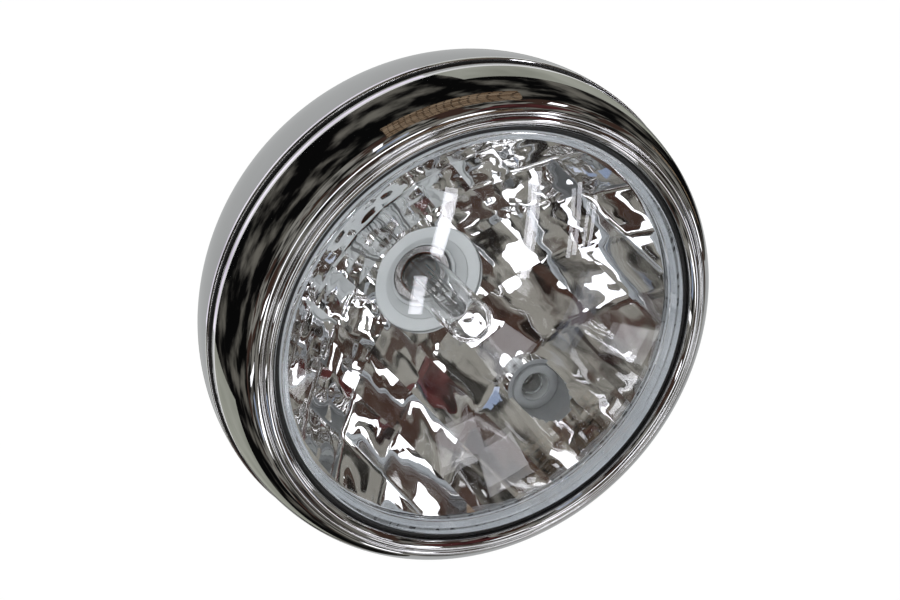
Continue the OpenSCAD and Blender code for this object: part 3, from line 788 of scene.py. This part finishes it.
# %% The studio
floor_height = -1.45
deselect()
bpy.ops.mesh.primitive_plane_add(size=40, location=(0, 0, floor_height))
floor = bpy.context.object
floor.name = "floor"
floor_paint = Paint("floor", Roughness=0.9)
floor_paint.surface.inputs["Base Color"].default_value = grey(0.95)
rays = floor_paint.nodes.new("ShaderNodeLightPath")
seen = floor_paint.node(
    "Math", {"operation": "MAXIMUM"},
    [Value(floor_paint, rays.outputs["Is Camera Ray"]), Value(floor_paint, rays.outputs["Is Glossy Ray"])])
seen = floor_paint.node(
    "Math", {"operation": "MAXIMUM"}, [seen, Value(floor_paint, rays.outputs["Is Transmission Ray"])])
white = floor_paint.node("Emission", {}, {"Color": grey(1.0), "Strength": 1.06})
mixed = floor_paint.node("MixShader", {}, {
    0: seen * 0.9, 1: Value(floor_paint, floor_paint.surface.outputs[0]), 2: white})
floor_paint.links.new(mixed.socket, floor_paint.nodes["Material Output"].inputs["Surface"])
floor.data.materials.append(floor_paint.material)

world = bpy.data.worlds.new("studio")
bpy.context.scene.world = world
world.use_nodes = True
sky = world.node_tree.nodes["Background"]
sky.inputs["Color"].default_value = grey(1.0)
path = world.node_tree.nodes.new("ShaderNodeLightPath")
strength = None
for ray in ("Is Camera Ray", "Is Glossy Ray", "Is Transmission Ray"):
    step = world.node_tree.nodes.new("ShaderNodeMath")
    step.operation = "MAXIMUM"
    world.node_tree.links.new(path.outputs[ray], step.inputs[0])
    if strength:
        world.node_tree.links.new(strength, step.inputs[1])
    else:
        step.inputs[1].default_value = 0.55
    strength = step.outputs[0]
world.node_tree.links.new(strength, sky.inputs["Strength"])
print("floor at", floor_height)

# %% [markdown]
# A card's place is easiest to give as the chrome sees it: an angle round the lamp's axis and an angle away
# from straight behind it. A card is hidden from the camera and from matt surfaces. Its glow is a noise
# between two tones, or a wall of tiles.


# %% Cards and their paint
def heading(around, away):
    """A direction. Away is its angle from straight behind the lamp, around is 0 above and 90 on the right."""
    turn, tilt = math.radians(around), math.radians(away)
    return Vector((math.sin(tilt) * math.sin(turn), math.cos(tilt), math.sin(tilt) * math.cos(turn)))


def hang(made, paint):
    """Gives a card its glow and leaves it to the reflections."""
    made.data.materials.append(paint.material)
    made.visible_camera = False
    made.visible_diffuse = False
    made.visible_shadow = False


def wall(name, around, away, distance, paint):
    """A card curved round the lamp, between two angles around its axis and two angles away from its back."""
    deselect()
    bpy.ops.mesh.primitive_grid_add(x_subdivisions=36, y_subdivisions=12, size=1)
    made = bpy.context.object
    made.name = name
    for point in made.data.vertices:
        turn = around[0] + (around[1] - around[0]) * (point.co.x + 0.5)
        tilt = away[0] + (away[1] - away[0]) * (point.co.y + 0.5)
        point.co = aim + heading(turn, tilt) * distance
    hang(made, paint)


def lath(name, start, end, width, paint, distance=0.95):
    """A long narrow card between two directions, as wide as so many degrees."""
    first, last = heading(*start) * distance, heading(*end) * distance
    side = first.cross(last).normalized() * distance * math.tan(math.radians(width / 2))
    deselect()
    bpy.ops.mesh.primitive_plane_add(size=1)
    made = bpy.context.object
    made.name = name
    for point, corner in zip(made.data.vertices, (first - side, first + side, last - side, last + side)):
        point.co = aim + corner
    hang(made, paint)


soft_white = grey(1.6, (0.97, 1, 1.03))


def wall_paint(name, low, high, scale=2.0, detail=4, edge=0.12, brick=False, middle=0.5, patch=None):
    """A card's glow. Light that has left a matt surface finds a soft white studio in its place."""
    paint = Paint(name)
    cloud = paint.noise(scale, detail).above(middle, edge)
    if brick:
        tiles = {"Vector": paint.place(), "Color1": low, "Color2": high, "Mortar": grey(0.01), "Scale": scale,
                 "Mortar Size": 0.03}
        colour = paint.node("TexBrick", {}, tiles)
    else:
        colour = paint.blend(cloud, low, high)
    if patch:
        colour = paint.blend(paint.noise(scale * 0.45, 3).above(0.56, 0.03), colour, patch)
    matt = paint.node("LightPath", out="Diffuse Depth").above(0.5)
    glow = paint.node("Emission", {}, {"Color": paint.blend(matt, colour, soft_white), "Strength": 1.0})
    paint.links.new(glow.socket, paint.nodes["Material Output"].inputs["Surface"])
    paint.material.cycles.emission_sampling = "NONE"
    return paint


sheet_grey = wall_paint("sheet_grey", (0.49, 0.50, 0.50, 1), (0.55, 0.56, 0.56, 1), 0.9, 1, 0.4)
sheet_shade = wall_paint("sheet_shade", (0.20, 0.20, 0.19, 1), (0.34, 0.34, 0.33, 1), 3.0, 2, 0.3)
sheet_edge = wall_paint("sheet_edge", (0.9, 0.8, 1.0, 1), (1.5, 1.4, 1.6, 1), 3.0)
olive = wall_paint("olive", (0.30, 0.31, 0.26, 1), (0.48, 0.49, 0.43, 1), 3.0, 3, 0.3)
dark_room = wall_paint(
    "dark_room", (0.004, 0.004, 0.004, 1), (0.19, 0.18, 0.155, 1), 3.0, 8, 0.11, middle=0.57)
front_room = wall_paint(
    "front_room", (0.012, 0.011, 0.010, 1), (0.31, 0.30, 0.27, 1), 4.5, 8, 0.08, middle=0.49,
    patch=(0.06, 0.034, 0.026, 1))
tan_tiles = wall_paint("tan", (0.15, 0.09, 0.05, 1), (0.42, 0.31, 0.21, 1), 7.0, brick=True)
maroon = wall_paint("maroon", (0.02, 0.008, 0.008, 1), (0.11, 0.035, 0.035, 1), 6.0)
sky_blue = wall_paint("sky_blue", (0.30, 0.38, 0.55, 1), (0.75, 0.82, 1.0, 1), 5.0)
window = wall_paint("window", (2.2, 2.2, 2.3, 1), (3.2, 3.2, 3.3, 1), 1.0, 1)
tube_light = wall_paint("tube_light", (8.0, 8.0, 8.6, 1), (10.0, 10.0, 10.6, 1), 1.0, 1)
print("cards can be hung")

# %% [markdown]
# Behind the lamp hangs a grey sheet, which the bowl shows. Beyond it is a dark room with coloured corners
# for the bezel, and in front of the lamp a lighter one with windows for the mirror. Five long tubes are
# placed so that the front of the glass shows them as pale columns.

# %% The room that the chrome sees
wall("sheet_behind", (-180, 180), (0, 36), 0.8, sheet_grey)
wall("sheet_shade", (140, 220), (24, 46), 0.76, sheet_shade)
wall("sheet_low", (146, 214), (46, 100), 0.9, sheet_grey)
wall("sheet_edge_top", (-85, 60), (34.4, 36.8), 0.78, sheet_edge)
wall("room_behind", (-180, 180), (36, 95), 1.3, dark_room)
wall("room_front", (-180, 180), (95, 180), 1.3, front_room)
wall("olive_right", (64, 140), (36, 50), 1.2, olive)
wall("olive_left", (-140, -88), (36, 60), 1.2, olive)
wall("tan_above", (24, 72), (76, 104), 1.15, tan_tiles)
wall("tan_low", (118, 140), (78, 84), 1.15, tan_tiles)
wall("maroon_right", (66, 100), (122, 142), 1.15, maroon)
wall("maroon_left", (-150, -134), (136, 146), 1.15, maroon)
wall("brown_low", (-186, -166), (108, 124), 1.12, tan_tiles)
wall("blue_high", (20, 34), (125, 132), 1.1, sky_blue)
wall("blue_left", (-100, -84), (118, 124), 1.1, sky_blue)
wall("blue_low", (150, 170), (133, 138), 1.1, sky_blue)
windows = (
    ("high_right", (18, 22), (110, 120)),
    ("right", (82, 88), (104, 112)), ("left", (-78, -74), (110, 128)),
    ("low_right", (138, 146), (108, 114)), ("low_left", (-146, -138), (106, 112)),
    ("low", (172, 186), (141, 150)), ("low_side", (196, 206), (128, 138)),
    ("near", (-95, 55), (150.5, 156)), ("near_right", (64, 90), (150, 155)),
    ("far_left", (-112, -102), (128, 150)), ("under_left", (-170, -162), (118, 130)),
    ("under_right", (160, 166), (116, 126)),
    ("upper_left", (-60, -52), (132, 140))
)
for name, around, away in windows:
    wall("window_" + name, around, away, 1.0, window)

lath("tube_1", (100, 165), (155, 170), 2.6, tube_light)
lath("tube_2", (-177, 170), (-157, 164), 2.4, tube_light)
lath("tube_3", (117, 149), (155, 151), 2.0, tube_light)
lath("tube_4", (126, 141), (146, 142), 1.0, tube_light)
lath("tube_5", (131, 138), (145, 139), 0.8, tube_light)
print("stage pieces are up")
